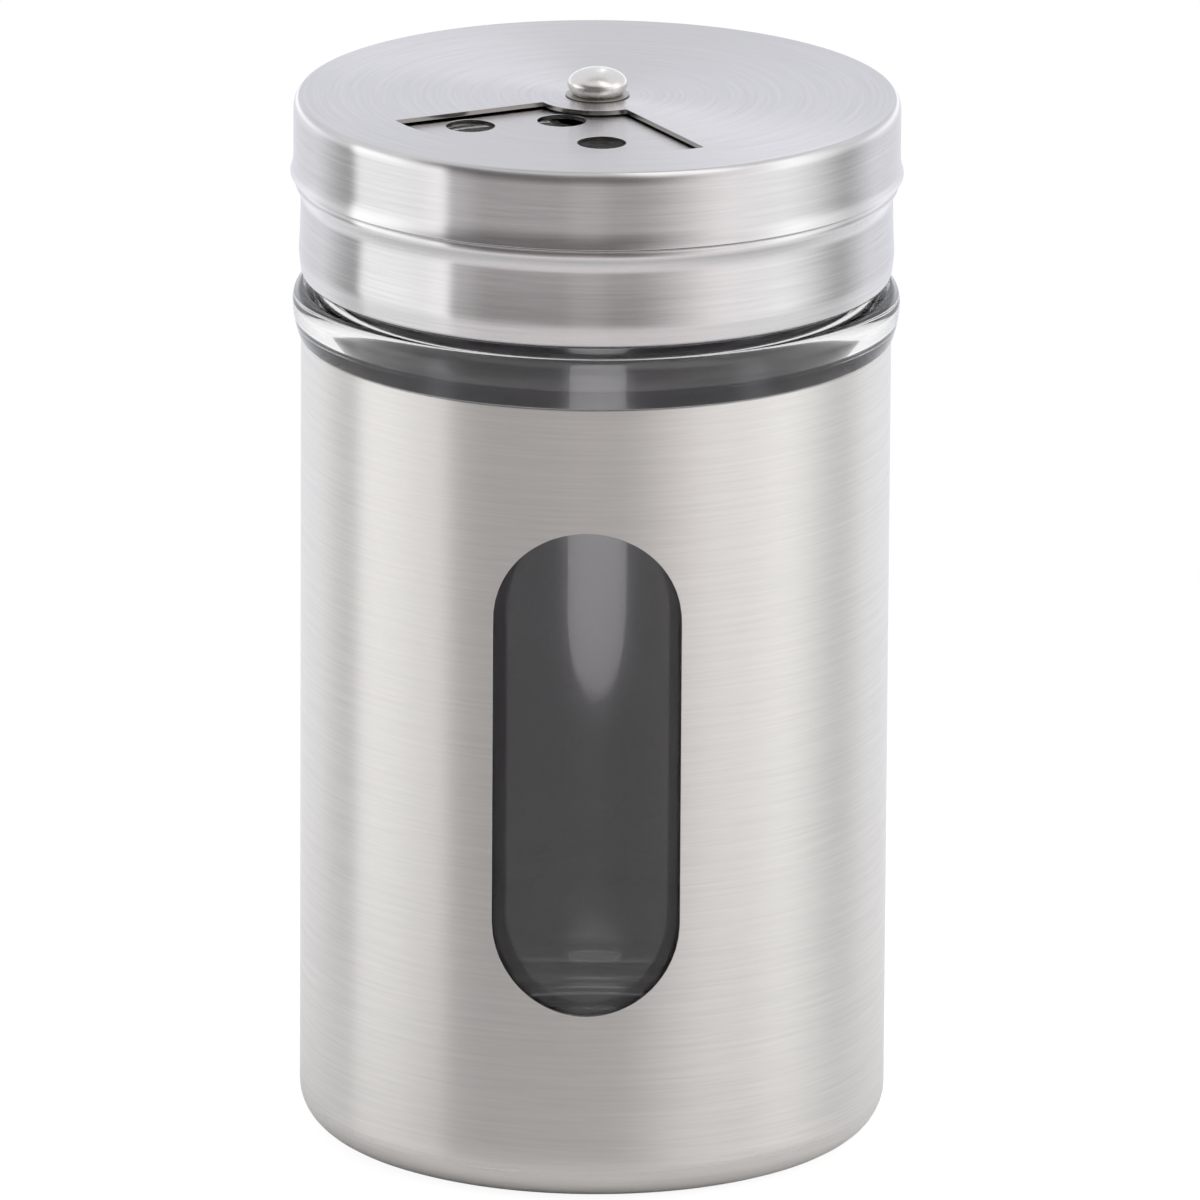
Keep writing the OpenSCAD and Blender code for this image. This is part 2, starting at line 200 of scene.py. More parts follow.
# Nearest points of a ring sector drawn in by the radius of its corners: the distance from the axis clamped
# between its arcs, and past either straight side the foot of the perpendicular on that side.
def sectorShape(heading, angle, rIn, rOut, corner):
    half = math.radians(angle) / 2
    mid = math.radians(heading)
    ends = [math.sqrt((rIn + corner) ** 2 - corner ** 2), math.sqrt((rOut - corner) ** 2 - corner ** 2)]

    def nearest(p):
        size = np.linalg.norm(p, axis=1, keepdims=True)
        out = p / size * np.clip(size, rIn + corner, rOut - corner)
        for side in (-1, 1):
            edge = np.array([math.cos(mid + side * half), math.sin(mid + side * half)])
            inward = np.array([-edge[1], edge[0]]) * -side
            along = np.clip(p @ edge, *ends)[:, None] * edge + corner * inward
            beyond = (p @ inward < corner) | (out @ inward < corner)
            out = np.where(beyond[:, None], along, out)
        return out
    return nearest


# The sheet round one opening as a single grid, from the outer face's border over both edges to the inner
# face's. A border point faces the rim point core + radius * direction, and small arcs roll the edges over.
def punched(place, outerBorder, innerBorder, core, radius, sheet, edge=0.05, rings=7):
    nearest = core(outerBorder)
    out = outerBorder - nearest
    out /= np.linalg.norm(out, axis=1, keepdims=True)
    rim = nearest + radius * out
    ease = np.linspace(1, 0, rings)[:, None, None] ** 1.5       # rings crowd towards the rim
    flat = rim + out * edge
    top = flat + (outerBorder - flat) * ease
    low = flat + (innerBorder - flat) * ease[::-1]
    turn = np.radians([22.5, 45, 67.5, 90])[:, None, None]
    rolled = rim + out * edge * (1 - np.sin(turn))
    plan = np.concatenate([top, rolled, rolled[::-1], low])
    over, sine, cosine = edge * (1 - np.cos(turn[:, 0, 0])), np.sin(turn[:, 0, 0]), np.cos(turn[:, 0, 0])
    depth = np.concatenate([np.zeros(rings), over, sheet - over[::-1], np.full(rings, sheet)])
    face = np.concatenate([np.ones(rings), cosine, -cosine[::-1], -np.ones(rings)])
    side = np.concatenate([np.zeros(rings), sine, sine[::-1], np.zeros(rings)])
    points, faceNormal, sideNormal = place(plan, depth[:, None], np.broadcast_to(-out, plan.shape))
    normals = faceNormal * face[:, None, None] + sideNormal * side[:, None, None]
    normals /= np.linalg.norm(normals, axis=2, keepdims=True)
    first = np.cross(points[1, 0] - points[0, 0], points[0, 1] - points[0, 0]) @ normals[0, 0]
    if first < 0:
        points, normals = points[:, ::-1], normals[:, ::-1]
    return grid(points, False, True, None, normals)


# Indices once round a block of cells, side by side. Either range may run backwards.
def ringOf(columns, rows):
    (i0, i1), (j0, j1) = columns, rows
    si, sj = (1 if i1 > i0 else -1), (1 if j1 > j0 else -1)
    ring = [(i0, j) for j in range(j0, j1, sj)] + [(i, j1) for i in range(i0, i1, si)]
    ring += [(i1, j) for j in range(j1, j0, -sj)] + [(i, j0) for i in range(i1, i0, -si)]
    return np.array(ring).T


# Rows of an outline on one face, where r (axis 0) or z (axis 1) has this value, nearest to the targets.
def rowsAt(outline, axis, value, targets):
    rows = np.nonzero(np.abs(outline[:, axis] - value) < 1e-6)[0]
    return [int(rows[np.argmin(np.abs(outline[rows, 1 - axis] - target))]) for target in targets]


# Leaves out a block of cells.
def blockOut(keep, columns, rows):
    keep[min(columns):max(columns), min(rows):max(rows)] = False


# The edge of a level sheet's middle hole, and its under and upper faces as rows from there to the end radius.
def plateFaces(hole, end, top, sheet, rows, edge=0.06, lead=0.6):
    low = top - sheet
    rim = filleted([(hole + lead, top), (hole, top, edge), (hole, low, edge), (hole + lead, low)],
                   step=1.0, closed=False)
    run = np.linspace(hole + lead, end, rows)[1:-1]
    return rim, np.stack([run, 0 * run + low], 1), np.stack([run[::-1], 0 * run + top], 1)


# A turned sheet whose flat top has openings, each (core, radius, its two radii, its two headings): the cells
# between those radii and headings give way to the opening's own grid.
def openedPlate(outline, columns, top, sheet, openings):
    keep = np.ones((columns, len(outline)), bool)
    made = []

    # a plan point (x, y) at the height top - depth, with the sheet's normal upright
    def place(plan, depth, side):
        points = np.concatenate([plan, np.broadcast_to(top - depth[..., None], (*plan.shape[:2], 1))], 2)
        return points, np.array([0, 0, 1.0]), np.concatenate([side, 0 * side[..., :1]], 2)

    for core, radius, radii, headings in openings:
        block = [round(heading / 360 * columns) for heading in headings]
        loops = []
        for level in (top, top - sheet):
            rows = rowsAt(outline, 1, level, radii)
            i, j = ringOf(block, rows)
            t = 2 * math.pi * i / columns
            loops.append(np.stack([outline[j, 0] * np.cos(t), outline[j, 0] * np.sin(t)], 1))
            for wrap in (0, columns):       # a block may run on past the last column
                blockOut(keep, [max(0, column - wrap) for column in block], rows)
        made.append(punched(place, *loops, core, radius, sheet))
    return [lathe(outline, columns, True, keep), *made]


# Joins the grids into one mesh in metres: points that agree to 0.00001 mm become one, and each grid keeps its
# own normals at its corners. The others are pairs of a finish and a test on its faces' middles and normals.
def makePiece(name, surfaces, material, body, slotName, *nodes, others=()):
    base, points, normals, quads = 0, [], [], []
    for surfacePoints, surfaceNormals, surfaceQuads in surfaces:
        points.append(surfacePoints)
        normals.append(surfaceNormals)
        quads.append(surfaceQuads + base)
        base += len(surfacePoints)
    points, normals, quads = np.concatenate(points), np.concatenate(normals), np.concatenate(quads)
    _, first, same = np.unique(np.round(points, 5), axis=0, return_index=True, return_inverse=True)
    welded = same.ravel()[quads]
    real = welded != np.roll(welded, 1, 1)      # at a pole two corners are one, and the quad is a triangle
    usable = real.sum(1) > 2
    welded, quads, real = welded[usable], quads[usable], real[usable]
    sizes = real.sum(1)
    mesh = bpy.data.meshes.new(name)
    mesh.vertices.add(len(first))
    mesh.vertices.foreach_set("co", (points[first] * mm).ravel())
    mesh.loops.add(int(sizes.sum()))
    mesh.loops.foreach_set("vertex_index", welded[real].astype(np.int32))
    mesh.polygons.add(len(sizes))
    mesh.polygons.foreach_set("loop_start", np.concatenate([[0], np.cumsum(sizes)[:-1]]).astype(np.int32))
    mesh.polygons.foreach_set("loop_total", sizes.astype(np.int32))
    mesh.polygons.foreach_set("use_smooth", np.ones(len(sizes), bool))
    mesh.update(calc_edges=True)
    mesh.validate()
    mesh.normals_split_custom_set(normals[quads[real]])
    mesh.materials.append(material)
    finishes = np.zeros(len(sizes), np.int32)
    for slot, (finish, test) in enumerate(others, 1):
        mesh.materials.append(finish)
        finishes[test(points[quads].mean(1), normals[quads].mean(1))] = slot
    mesh.polygons.foreach_set("material_index", finishes)
    mesh.update()
    piece = bpy.data.objects.new(name, mesh)
    scene.collection.objects.link(piece)
    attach(piece, body)
    if nodes:
        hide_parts(*nodes)
    print(name, len(sizes), "faces")


camera = {
    "distance": 1917.6,     # level distance to the shaker's axis, mm
    "height": 615.4,        # above the table, mm
    "pitch": 16.26,         # degrees down
    "roll": 0.34,           # degrees
    "heading": 1.4,         # degrees round from the sight window
    "lens": 577.6,          # mm, on a sensor of 36 mm
    "sensor": 36,
    "shiftX": 5.5 / 1200,   # shares of the picture's width
    "shiftY": -0.74 / 1200,
    "near": 0.1, "far": 100,    # metres
}
cam = bpy.data.cameras.new("camera")
cam.lens = camera["lens"]
cam.sensor_width = camera["sensor"]
cam.shift_x, cam.shift_y = camera["shiftX"], camera["shiftY"]
cam.clip_start, cam.clip_end = camera["near"], camera["far"]
camObject = bpy.data.objects.new("camera", cam)
scene.collection.objects.link(camObject)
heading = math.radians(camera["heading"])
away = camera["distance"] * mm
camObject.matrix_world = (
    Matrix.Translation((away * math.sin(heading), -away * math.cos(heading), camera["height"] * mm))
    @ Matrix.Rotation(heading, 4, "Z")
    @ Matrix.Rotation(math.radians(90 - camera["pitch"]), 4, "X")
    @ Matrix.Rotation(math.radians(camera["roll"]), 4, "Z"))
scene.camera = camObject
print("camera set")

scene.view_settings.view_transform = "Standard"
scene.cycles.max_bounces = 24           # light crosses both walls of the jar and the threads behind them
scene.cycles.transmission_bounces = 24
scene.cycles.glossy_bounces = 12
scene.cycles.transparent_max_bounces = 16

studio = {
    "room": 0.155,              # a dim room, with pale panels round it
    "toneInFront": (1.06, 0.985, 0.98, 1),      # linear light: a little warm in front
    "toneBehind": (0.98, 0.99, 1.05, 1),        # and a little cool behind
    "toneReach": (0.3, 1.0),    # how far in front or behind a direction is when its tone starts and is full
    "panels": {
        # heading (0 in front, + to the right), half width and soft edge in degrees, lowest and highest
        # direction and soft edge as a sine, and the brightness that the panel adds
        "floor of the room": (0, 180, 1, -2.0, -0.10, 0.20, 0.17),
        "ceiling behind": (180, 95, 30, 0.05, 0.85, 0.25, 0.57),
        "ceiling in front": (0, 55, 30, 0.75, 2.0, 0.25, 0.67),
        "table top": (0, 180, 1, -2.0, -0.46, 0.20, 0.68),
        "left softbox": (-80, 20, 6, -0.30, 0.20, 0.12, 0.87),
        "left softbox edge": (-56, 2, 14, -0.30, 0.10, 0.25, 0.2),
        "right softbox": (65, 9, 42, -0.30, 0.55, 0.12, 0.84),
        "overhead lamp": (42, 10, 25, 0.55, 0.95, 0.20, 0.75),
        "lamp behind": (176.8, 1.3, 1.0, 0.40, 0.60, 0.10, 1.1),
        "back paper": (180, 45, 30, -0.30, 0.0, 0.20, 0.54),
        "back wall": (180, 75, 40, 0.0, 2.0, 0.2, 0.15),
        "gap in front": (-2, 3, 8, -0.30, 0.0, 0.20, 0.09),
    },
    "paperSize": (60, 220),     # the table's paper fades out between these distances from the axis, mm
    "paperColour": "#F2F2F2",
    "paperGlow": 0.12,          # white that the camera sees on top of the paper's own light
    "shadowLift": 0.8,          # share of its shadow that the paper loses to its white
}
white = (1, 1, 1, 1)
soft = {"interpolation_type": "SMOOTHSTEP"}
times = {"operation": "MULTIPLY"}
colours = {"data_type": "RGBA"}     # this mix has its colours at inputs 6 and 7, and its result at output 2

# a panel's level is the product of soft steps in height and heading, times its brightness, and they add up
world = bpy.data.worlds.new("studio")
scene.world = world
world.use_nodes = True
tree = world.node_tree
tree.nodes.clear()
direction = addNode(tree, "TexCoord").outputs["Generated"]
axes = addNode(tree, "SeparateXYZ", i0=direction)
up = axes.outputs["Z"]
front = addNode(tree, "Math", times, i0=axes.outputs["Y"], i1=-1.0)
heading = addNode(tree, "Math", {"operation": "ARCTAN2"}, i0=axes.outputs["X"], i1=front)
brightness = addNode(tree, "Value")
brightness.outputs[0].default_value = studio["room"]
for centre, half, edge, low, high, lift, added in studio["panels"].values():
    level = addNode(tree, "MapRange", soft, i0=up, i1=low - lift, i2=low)
    if high < 1:
        below = addNode(tree, "MapRange", soft, i0=up, i1=high + lift, i2=high)
        level = addNode(tree, "Math", times, i0=level, i1=below)
    if half < 180:
        off = addNode(tree, "Math", {"operation": "SUBTRACT"}, i0=heading, i1=math.radians(centre))
        off = addNode(tree, "Math", {"operation": "WRAP"}, i0=off, i1=-math.pi, i2=math.pi)
        off = addNode(tree, "Math", {"operation": "ABSOLUTE"}, i0=off)
        inside = addNode(tree, "MapRange", soft, i0=off, i1=math.radians(half + edge), i2=math.radians(half))
        level = addNode(tree, "Math", times, i0=level, i1=inside)
    brightness = addNode(tree, "Math", {"operation": "MULTIPLY_ADD"}, i0=level, i1=added, i2=brightness)
start, full = studio["toneReach"]
ahead = addNode(tree, "MapRange", i0=axes.outputs["Y"], i1=-full, i2=-start, i3=0.0, i4=1.0)
behind = addNode(tree, "MapRange", i0=axes.outputs["Y"], i1=start, i2=full, i3=0.0, i4=1.0)
tone = addNode(tree, "Mix", colours, i0=ahead, i6=studio["toneInFront"], i7=white)
tone = addNode(tree, "Mix", colours, i0=behind, i6=tone.outputs[2], i7=studio["toneBehind"])
# the background is white to the camera and through the glass, and steel reflects the room
rays = addNode(tree, "LightPath")
room = addNode(tree, "Background", i0=tone.outputs[2], i1=brightness)
background = addNode(tree, "Background", i0=white, i1=1.0)
through = addNode(tree, "Math", {"operation": "MAXIMUM"}, i0=rays.outputs["Is Camera Ray"],
                  i1=rays.outputs["Is Transmission Ray"])
seen = addNode(tree, "MixShader", i0=through, i1=room, i2=background)
addNode(tree, "OutputWorld", i0=seen)

# matt white paper that keeps a pale shadow, and fades into the white round it
paperFinish, tree, place = startMaterial("matt white paper")
far = addNode(tree, "VectorMath", {"operation": "LENGTH"}, i0=place)
paperInner, paperOuter = [size * mm for size in studio["paperSize"]]
gone = addNode(tree, "MapRange", soft, i0=far.outputs["Value"], i1=paperInner, i2=paperOuter)
toCamera = addNode(tree, "LightPath").outputs["Is Camera Ray"]
matt = addNode(tree, "BsdfDiffuse", i0=linear(studio["paperColour"]))
glow = addNode(tree, "Math", times, i0=toCamera, i1=studio["paperGlow"])
glowing = addNode(tree, "Emission", i0=white, i1=glow)
lift = addNode(tree, "Math", times, i0=toCamera, i1=studio["shadowLift"])
lit = addNode(tree, "Emission", i0=white, i1=1.0)
pale = addNode(tree, "MixShader", i0=lift, i1=matt, i2=lit)
both = addNode(tree, "AddShader", i0=pale, i1=glowing)
nothing = addNode(tree, "BsdfTransparent")
seen = addNode(tree, "MixShader", i0=gone, i1=both, i2=nothing)
addNode(tree, "OutputMaterial", i0=seen)
under = -0.1 * mm       # just below the foot, so that they don't touch
corners = [(x * paperOuter, y * paperOuter, under) for x, y in ((-1, -1), (1, -1), (1, 1), (-1, 1))]
paperMesh = bpy.data.meshes.new("table")
paperMesh.from_pydata(corners, [], [(0, 1, 2, 3)])
paperMesh.materials.append(paperFinish)
table = bpy.data.objects.new("table", paperMesh)
scene.collection.objects.link(table)
table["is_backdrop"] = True
print("table and room set")

solid = {"noise_dimensions": "3D"}
common = {"i1": 0.3, "i2": 0.7}     # nearly all of a noise's values lie between these
variation = 0.12    # share by which the roughness of a grained finish varies


# Both ends of a value that varies by a share: value (1 - share) and value (1 + share).
def around(value, share):
    return value * (1 - share), value * (1 + share)


# Stainless sheet brushed round the shaker's axis: fine lines that follow the turn, and highlights drawn out
# across them. The lines are a noise at (x, y) / stroke and (radius + z) / line width, drawn coarser than real
# brushing so that they show.
def brushedSteel(name, look):
    material, tree, place = startMaterial(name)
    xyz = addNode(tree, "SeparateXYZ", i0=place)
    flat = addNode(tree, "CombineXYZ", i0=xyz.outputs["X"], i1=xyz.outputs["Y"])
    radius = addNode(tree, "VectorMath", {"operation": "LENGTH"}, i0=flat)
    along = addNode(tree, "VectorMath", {"operation": "SCALE"}, i0=flat, Scale=1 / (look["stroke"] * mm))
    outwards = addNode(tree, "Math", {"operation": "ADD"}, i0=radius.outputs["Value"], i1=xyz.outputs["Z"])
    across = addNode(tree, "Math", times, i0=outwards, i1=1 / (look["lineWidth"] * mm))
    lines = addNode(tree, "CombineXYZ", i2=across)
    spot = addNode(tree, "VectorMath", {"operation": "ADD"}, i0=along, i1=lines)
    noise = addNode(tree, "TexNoise", solid, i0=spot, Scale=1.0, Detail=3.0, Roughness=0.6)
    shade = addNode(tree, "MapRange", i0=noise, **common, i3=0.0, i4=1.0)
    colour = addNode(tree, "Mix", colours, i0=shade, i6=linear(look["dark"]), i7=linear(look["light"]))
    least, most = around(1, look["uneven"])
    uneven = addNode(tree, "MapRange", i0=noise, **common, i3=least, i4=most)
    low, high = look["corner"]
    smoother = addNode(tree, "MapRange", i0=xyz.outputs["Z"], i1=low * mm, i2=high * mm,
                       i3=look["cornerRoughness"], i4=look["roughness"])
    rough = addNode(tree, "Math", times, i0=uneven, i1=smoother)
    bump = addNode(tree, "Bump", Strength=look["bump"], Distance=look["lineDepth"] * mm, Height=noise)
    tangent = addNode(tree, "Tangent", {"direction_type": "RADIAL", "axis": "Z"})
    steel = addNode(tree, "BsdfPrincipled", Metallic=1.0, Anisotropic=look["drawn"],
                    Anisotropic_Rotation=0.25, Base_Color=colour.outputs[2], Roughness=rough, Normal=bump,
                    Tangent=tangent)
    addNode(tree, "OutputMaterial", i0=steel)
    return material


sleeveLook = {
    "stroke": 12.0, "lineWidth": 0.3, "lineDepth": 0.02,    # mm
    "dark": "#DEDCD9", "light": "#EAE8E5", "bump": 0.1,
    "roughness": 0.4, "uneven": 0.07, "drawn": 0.97,
    "corner": (1.5, 6.0), "cornerRoughness": 0.18,          # the foot's drawn corner is smoother, mm up
}
# the lid's sheet is finer: greyer, with a sharper sheen and fainter lines
lidLook = {
    **sleeveLook, "dark": "#CDCCCD", "light": "#D7D6D7", "bump": 0.07, "roughness": 0.19, "drawn": 0.98,
}
sleeveSteel = brushedSteel("brushed stainless sleeve", sleeveLook)
lidSteel = brushedSteel("brushed stainless lid", lidLook)


# Pressed soda glass: clear and fire-polished, with the mould's faint waves, a noise at place / wave.
def clearGlass(name, look):
    material, tree, place = startMaterial(name)
    waves = addNode(tree, "TexNoise", solid, i0=place, Scale=1 / (look["wave"] * mm), Detail=1.0)
    bump = addNode(tree, "Bump", Strength=1.0, Distance=look["waveHeight"] * mm, Height=waves)
    glass = addNode(tree, "BsdfPrincipled", Base_Color=linear(look["colour"]), Roughness=0.0,
                    IOR=look["ior"], Transmission_Weight=1.0, Normal=bump)
    addNode(tree, "OutputMaterial", i0=glass)
    return material


jarGlass = clearGlass("clear soda glass", {"colour": "#FDFDFD", "ior": 1.5, "wave": 9.0, "waveHeight": 0.01})


# A finish whose colour, sheen and height all follow one fine grain, a noise at place / grain.
def grained(name, look):
    material, tree, place = startMaterial(name)
    grain = addNode(tree, "TexNoise", solid, i0=place, Scale=1 / (look["grain"] * mm), Detail=3.0)
    shade = addNode(tree, "MapRange", i0=grain, **common, i3=0.0, i4=1.0)
    colour = addNode(tree, "Mix", colours, i0=shade, i6=linear(look["dark"]), i7=linear(look["light"]))
    shiny, dull = around(look["roughness"], variation)      # pale spots are the smoother ones
    rough = addNode(tree, "MapRange", i0=shade, i1=0.0, i2=1.0, i3=dull, i4=shiny)
    bump = addNode(tree, "Bump", Strength=1.0, Distance=look["grainHeight"] * mm, Height=grain)
    shader = addNode(tree, "BsdfPrincipled", Base_Color=colour.outputs[2], Roughness=rough,
                     Metallic=look["metal"], Normal=bump)
    addNode(tree, "OutputMaterial", i0=shader)
    return material


# polypropylene from a fine-eroded mould: white, with a soft low sheen
insertPlastic = grained("moulded white polypropylene", {
    "dark": "#E6E6E4", "light": "#F0F0EE",
    "grain": 0.5, "grainHeight": 0.006, "roughness": 0.42, "metal": 0.0})
# silicone is milky and dull
silicone = grained("milky silicone", {
    "dark": "#DEDDD8", "light": "#E8E7E2",
    "grain": 0.4, "grainHeight": 0.004, "roughness": 0.5, "metal": 0.0})
# stamped and tumbled, so greyer than the drawn sheet
washerSteel = grained("stamped stainless washer", {
    "dark": "#ADABA8", "light": "#C2C0BD",
    "grain": 0.3, "grainHeight": 0.002, "roughness": 0.3, "metal": 1.0})
# the cut through a sheet has none of its brushed lines, and is a little darker
shearedSteel = grained("sheared stainless edge", {
    "dark": "#AAA7A4", "light": "#B4B1AE",
    "grain": 0.2, "grainHeight": 0.001, "roughness": 0.24, "metal": 1.0})
# set glue is amber, lumpy and half shiny
hotMelt = grained("set hot-melt glue", {
    "dark": "#CFC49B", "light": "#E0D7B2",
    "grain": 1.8, "grainHeight": 0.05, "roughness": 0.4, "metal": 0.0})


# Tumbled stainless head: bright with fine marks, a noise at place / marks, and darker and duller in the
# groove, where a painted shade stands in for the crevice's shadow.
def tumbledHead(name, look):
    material, tree, place = startMaterial(name)
    height = addNode(tree, "SeparateXYZ", i0=place).outputs["Z"]
    # painted shade: below these heights the head fades to the dark groove colour, standing in for the shade
    # in the crevice over the flange
    low, high = look["shadeBand"]
    unshaded = addNode(tree, "MapRange", i0=height, i1=low * mm, i2=high * mm)
    colour = addNode(tree, "Mix", colours, i0=unshaded, i6=linear(look["groove"]), i7=linear(look["head"]))
    marks = addNode(tree, "TexNoise", solid, i0=place, Scale=1 / (look["marks"] * mm), Detail=2.0)
    shiny, dull = around(look["roughness"], look["uneven"])
    sheen = addNode(tree, "MapRange", i0=marks, **common, i3=shiny, i4=dull)
    rough = addNode(tree, "MapRange", i0=unshaded, i1=0.0, i2=1.0, i3=look["grooveRoughness"], i4=sheen)
    steel = addNode(tree, "BsdfPrincipled", Metallic=1.0, Base_Color=colour.outputs[2], Roughness=rough)
    addNode(tree, "OutputMaterial", i0=steel)
    return material


rivetSteel = tumbledHead("tumbled stainless rivet", {
    "head": "#E4E2DF", "groove": "#6E6B69", "shadeBand": (110.3, 110.42),       # mm up, from the painted shade to the bare head
    "marks": 0.4, "roughness": 0.27, "uneven": 0.1, "grooveRoughness": 0.5})


# Unbrushed sheet: a clear reflection under a haze, whose share varies a little with the fine rolled grain, a
# noise at place / grain.
def millFinish(name, look):
    material, tree, place = startMaterial(name)
    grain = addNode(tree, "TexNoise", solid, i0=place, Scale=1 / (look["grain"] * mm), Detail=2.0)
    least, most = around(look["haze"], look["uneven"])
    share = addNode(tree, "MapRange", i0=grain, **common, i3=least, i4=most)
    layers = [addNode(tree, "BsdfPrincipled", Base_Color=linear(look["colour"]), Metallic=1.0,
                      Roughness=roughness) for roughness in (look["roughness"], 1.0)]
    both = addNode(tree, "MixShader", i0=share, i1=layers[0], i2=layers[1])
    addNode(tree, "OutputMaterial", i0=both)
    return material


millSteel = millFinish("mill-finish stainless inside", {
    "colour": "#E6E3E9", "grain": 0.4, "haze": 0.75, "uneven": 0.04, "roughness": 0.16})
print("materials set")

sleeve = {
    "radius": 30.5, "height": 85.0, "sheet": 0.5,
    "foot": 4.2,                # radius of the drawn corner at the table
    "rimRound": 0.14,
    "ringRadius": 23.5, "recess": 0.8, "ringRound": 0.9, "innerRound": 0.5,     # the bottom is pushed in
    "windowWidth": 19.3, "windowHeight": 51.6, "windowMiddle": 46.1,
    "columns": 384,
    "blockColumns": 29, "blockZ": (15.5, 76.5),     # half the columns, and the heights, of the window's grid
}
radius, height, sheet = sleeve["radius"], sleeve["height"], sleeve["sheet"]
ring, recess = sleeve["ringRadius"], sleeve["recess"]
standOff = sheet * math.tan(math.radians(45 / 2))       # where the inside of a 45 degree slope turns
outline = filleted([
    (0, recess), (ring - recess, recess, sleeve["ringRound"]), (ring, 0, sleeve["ringRound"]),
    (radius, 0, sleeve["foot"]), (radius, height, sleeve["rimRound"]),
    (radius - sheet, height, sleeve["rimRound"]), (radius - sheet, sheet, sleeve["foot"] - sheet),
    (ring + standOff, sheet, sleeve["innerRound"]),
    (ring - recess + standOff, recess + sheet, sleeve["innerRound"]), (0, recess + sheet)],
    step=2.0, closed=False)
columns = sleeve["columns"]
keep = np.ones((columns, len(outline) - 1), bool)
frontColumn = columns * 3 // 4      # the one at -Y
block = (frontColumn - sleeve["blockColumns"], frontColumn + sleeve["blockColumns"])
loops = []
for wall in (radius, radius - sheet):
    rows = rowsAt(outline, 0, wall, sleeve["blockZ"])
    i, j = ringOf(block, rows)
    loops.append(np.stack([wall * np.cos(2 * math.pi * i / columns), outline[j, 1]], 1))
    blockOut(keep, block, rows)


# The window's cutter seen along Y: the point (x, z) of its plane lies at y = -sqrt((radius - depth)^2 - x^2).
def onSleeve(plan, depth, side):
    x, z = plan[..., 0], plan[..., 1]
    reach = sleeve["radius"] - depth
    y = -np.sqrt(reach ** 2 - x ** 2)
    return (np.stack([x, y, z], 2), np.stack([x / reach, y / reach, 0 * x], 2),
            np.stack([side[..., 0], 0 * x, side[..., 1]], 2))


# The part of a normal that points away from the axis: (x nx + y ny) / sqrt(x^2 + y^2).
def outwardness(middles, normals):
    return (middles[:, :2] * normals[:, :2]).sum(1) / np.maximum(np.linalg.norm(middles[:, :2], axis=1), 1e-9)


# The inside of the cup: its normal points to the axis.
def looksInward(middles, normals):
    return outwardness(middles, normals) < -0.1


# The cut round the window: at its height, the only faces whose normals lie along the sheet.
def windowEdge(middles, normals):
    low, high = sleeve["blockZ"]
    return (np.abs(outwardness(middles, normals)) < 0.6) & (middles[:, 2] > low) & (middles[:, 2] < high)


half = sleeve["windowWidth"] / 2
straight = sleeve["windowHeight"] / 2 - half
windowLine = lineShape(sleeve["windowMiddle"] - straight, sleeve["windowMiddle"] + straight)
window = punched(onSleeve, *loops, windowLine, half, sheet)
makePiece("sleeveShell", [lathe(outline, columns, False, keep), window], sleeveSteel, "jar", "sleeve_steel",
          "steel_sleeve", others=[(millSteel, looksInward), (shearedSteel, windowEdge)])

jar = {
    "radius": 29.85, "foot": 1.8, "corner": 5.0, "footRadius": 20.0,
    "pushUp": 0.8, "pushUpRadius": 16.0,                    # the bottom is pushed up in a shallow dome
    "beadZ": 85.05, "beadRadius": 31.35, "beadHeight": 5.2, "beadSeat": 0.15,
    "beadBend": 9.5, "beadEdge": 0.3,                       # radii of the bead's flank and of its lower edge
    "browWidth": 1.2, "browHeight": 1.7,
    "neckRadius": 27.6, "shoulder": 2.3, "rimZ": 106.4, "rimRound": 1.0,
    "innerRadius": 27.2, "floorZ": 6.8, "innerCorner": 4.0, "mouthRadius": 24.9,
    "hollow": 1.1, "hollowStart": 83.05, "hollowTop": 88.25, "shoulderTop": 93.0,   # inside, behind the bead
    "outerRows": (12, 80), "innerRows": (80, 14), "floorRows": (18, 12, 6, 0), "neckStep": 0.2,
    "rimPoints": 8,
    "columns": 360,
}
thread = {
    "pitch": 4.0, "startZ": 90.4, "startHeading": 329.0, "turns": 2.6, "taper": 0.02,
    "outer": 28.5, "halfWidth": 1.1,            # the glass ridge
    "inner": 28.1, "innerHalfWidth": 0.8, "innerTurns": 3.2,    # the insert's ridge, half a pitch further up
}


# A step from 0 to 1 with level ends: x^2 (3 - 2x).
def smooth(x):
    x = np.clip(x, 0, 1)
    return x * x * (3 - 2 * x)


# Height from 0 to 1 of a helix that rises a pitch a turn: a raised cosine across it, eased in at both ends.
def ridge(t, z, shift, halfWidth, turns):
    partTurn = np.mod(t - math.radians(thread["startHeading"]), 2 * math.pi) / (2 * math.pi)
    level = (z - thread["startZ"] - shift) / thread["pitch"] - partTurn
    wholeTurns = np.round(level)
    across = np.abs(level - wholeTurns) * thread["pitch"] / halfWidth
    along = wholeTurns + partTurn
    ends = smooth(along / thread["taper"]) * smooth((turns - along) / thread["taper"])
    return 0.5 * (1 + np.cos(math.pi * np.clip(across, 0, 1))) * ends


